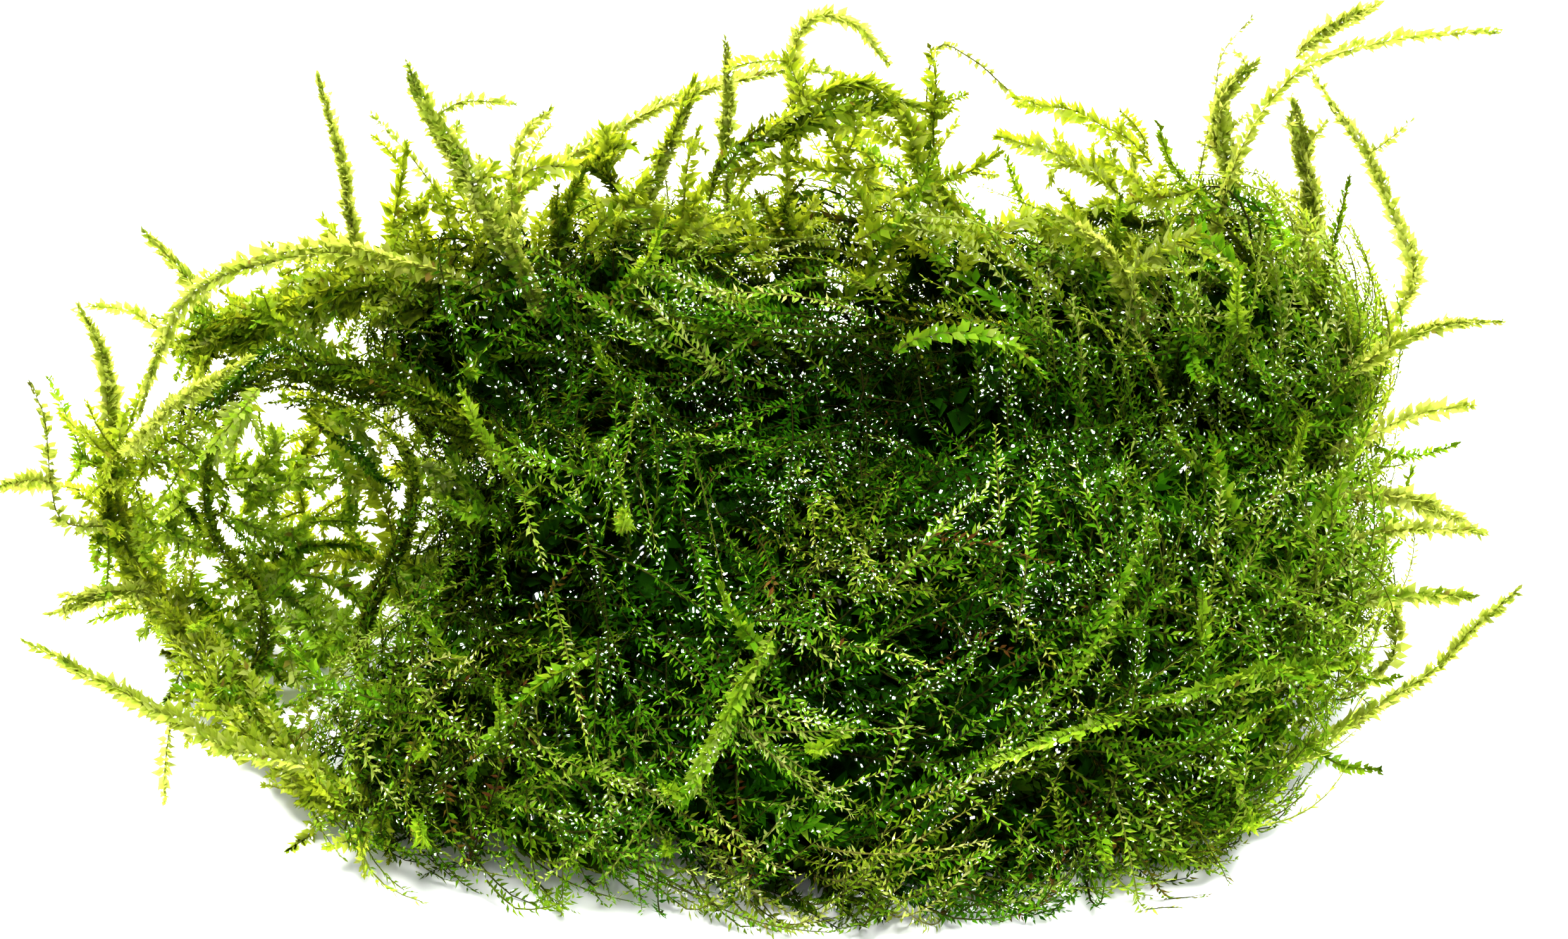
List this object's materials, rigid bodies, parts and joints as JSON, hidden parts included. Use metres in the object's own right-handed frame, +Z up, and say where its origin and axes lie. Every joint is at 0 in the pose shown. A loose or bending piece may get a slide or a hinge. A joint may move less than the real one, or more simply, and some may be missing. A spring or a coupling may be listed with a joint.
{
  "type": "moss clump",
  "caption": "Wet moss clump: a tangled heap of two-ranked leafy shoots, flat below, with a high back rim, an open looped lobe at the left and loose shoots all round.",
  "frame": {"origin": "on the flat underside, under the middle of the tangled mat", "axes": "+X to the right as seen from the low front, away from the open lobe; +Y to the high back rim; +Z up"},
  "size_m": [0.1105, 0.0662, 0.0467],
  "materials": {
    "back_arc_long": "wet and glossy, pale yellow-green",
    "back_bare_arc": "wet and glossy, brown-olive",
    "back_dark": "wet and glossy, mid green",
    "back_hook": "wet and glossy, pale yellow-green",
    "back_left_bold": "wet and glossy, mid green",
    "back_left_curl": "wet and glossy, pale yellow-green",
    "back_left_slender": "wet and glossy, pale yellow-green",
    "back_left_twig": "wet and glossy, pale yellow-green",
    "back_left_wisp": "wet and glossy, brown-olive",
    "back_pale": "wet and glossy, pale yellow-green",
    "back_right_leafy": "wet and glossy, mid green",
    "behind_left_arc": "wet and glossy, mid green",
    "behind_left_high": "wet and glossy, pale yellow-green",
    "behind_left_low": "wet and glossy, mid green",
    "behind_middle_high": "wet and glossy, pale yellow-green",
    "behind_middle_low": "wet and glossy, mid green",
    "behind_right_arc": "wet and glossy, mid green",
    "behind_right_high": "wet and glossy, pale yellow-green",
    "behind_right_low": "wet and glossy, mid green",
    "front_left_long": "wet and glossy, pale yellow-green",
    "front_left_sprig": "wet and glossy, pale yellow-green",
    "left_band_back": "wet and glossy, mid green",
    "left_band_front": "wet and glossy, deep green",
    "left_far_high": "wet and glossy, brown-olive",
    "left_far_low": "wet and glossy, pale yellow-green",
    "left_hoop_drop": "wet and glossy, deep green",
    "left_hoop_front": "wet and glossy, deep green",
    "left_hoop_outer": "wet and glossy, brown-olive",
    "left_inner_arch": "wet and glossy, brown-olive",
    "left_inner_low": "wet and glossy, mid green",
    "left_inner_right": "wet and glossy, mid green",
    "left_inner_stem": "wet and glossy, mid green",
    "left_lean_inner": "wet and glossy, mid green",
    "left_long_arch": "wet and glossy, pale yellow-green",
    "left_low_tuft": "wet and glossy, pale yellow-green",
    "left_pale": "wet and glossy, pale yellow-green",
    "left_rim": "wet and glossy, mid green",
    "left_thin_arch": "wet and glossy, pale yellow-green",
    "left_up_short": "wet and glossy, pale yellow-green",
    "right_crest": "wet and glossy, pale yellow-green",
    "right_curved": "wet and glossy, mid green",
    "right_drop": "wet and glossy, pale yellow-green",
    "right_front_long": "wet and glossy, mid green",
    "right_hair": "wet and glossy, brown-olive",
    "right_high": "wet and glossy, pale yellow-green",
    "right_low": "wet and glossy, pale yellow-green",
    "right_main": "wet and glossy, mid green",
    "right_mid": "wet and glossy, pale yellow-green",
    "right_outer": "wet and glossy, pale yellow-green",
    "right_plume": "wet and glossy, pale yellow-green",
    "right_sparse": "wet and glossy, pale yellow-green",
    "right_upper": "wet and glossy, mid green",
    "right_wisp": "wet and glossy, brown-olive",
    "tangled_mat": "wet and glossy, deep green"
  },
  "bodies": {
    "root": {"back_arc_long": "back_arc_long", "back_bare_arc": "back_bare_arc", "back_dark": "back_dark", "back_hook": "back_hook", "back_left_bold": "back_left_bold", "back_left_curl": "back_left_curl", "back_left_slender": "back_left_slender", "back_left_twig": "back_left_twig", "back_left_wisp": "back_left_wisp", "back_pale": "back_pale", "back_right_leafy": "back_right_leafy", "behind_left_arc": "behind_left_arc", "behind_left_high": "behind_left_high", "behind_left_low": "behind_left_low", "behind_middle_high": "behind_middle_high", "behind_middle_low": "behind_middle_low", "behind_right_arc": "behind_right_arc", "behind_right_high": "behind_right_high", "behind_right_low": "behind_right_low", "front_left_long": "front_left_long", "front_left_sprig": "front_left_sprig", "left_band_back": "left_band_back", "left_band_front": "left_band_front", "left_far_high": "left_far_high", "left_far_low": "left_far_low", "left_hoop_drop": "left_hoop_drop", "left_hoop_front": "left_hoop_front", "left_hoop_outer": "left_hoop_outer", "left_inner_arch": "left_inner_arch", "left_inner_low": "left_inner_low", "left_inner_right": "left_inner_right", "left_inner_stem": "left_inner_stem", "left_lean_inner": "left_lean_inner", "left_long_arch": "left_long_arch", "left_low_tuft": "left_low_tuft", "left_pale": "left_pale", "left_rim": "left_rim", "left_thin_arch": "left_thin_arch", "left_up_short": "left_up_short", "right_crest": "right_crest", "right_curved": "right_curved", "right_drop": "right_drop", "right_front_long": "right_front_long", "right_hair": "right_hair", "right_high": "right_high", "right_low": "right_low", "right_main": "right_main", "right_mid": "right_mid", "right_outer": "right_outer", "right_plume": "right_plume", "right_sparse": "right_sparse", "right_upper": "right_upper", "right_wisp": "right_wisp", "tangled_mat": "tangled_mat"}
  },
  "joints": []
}
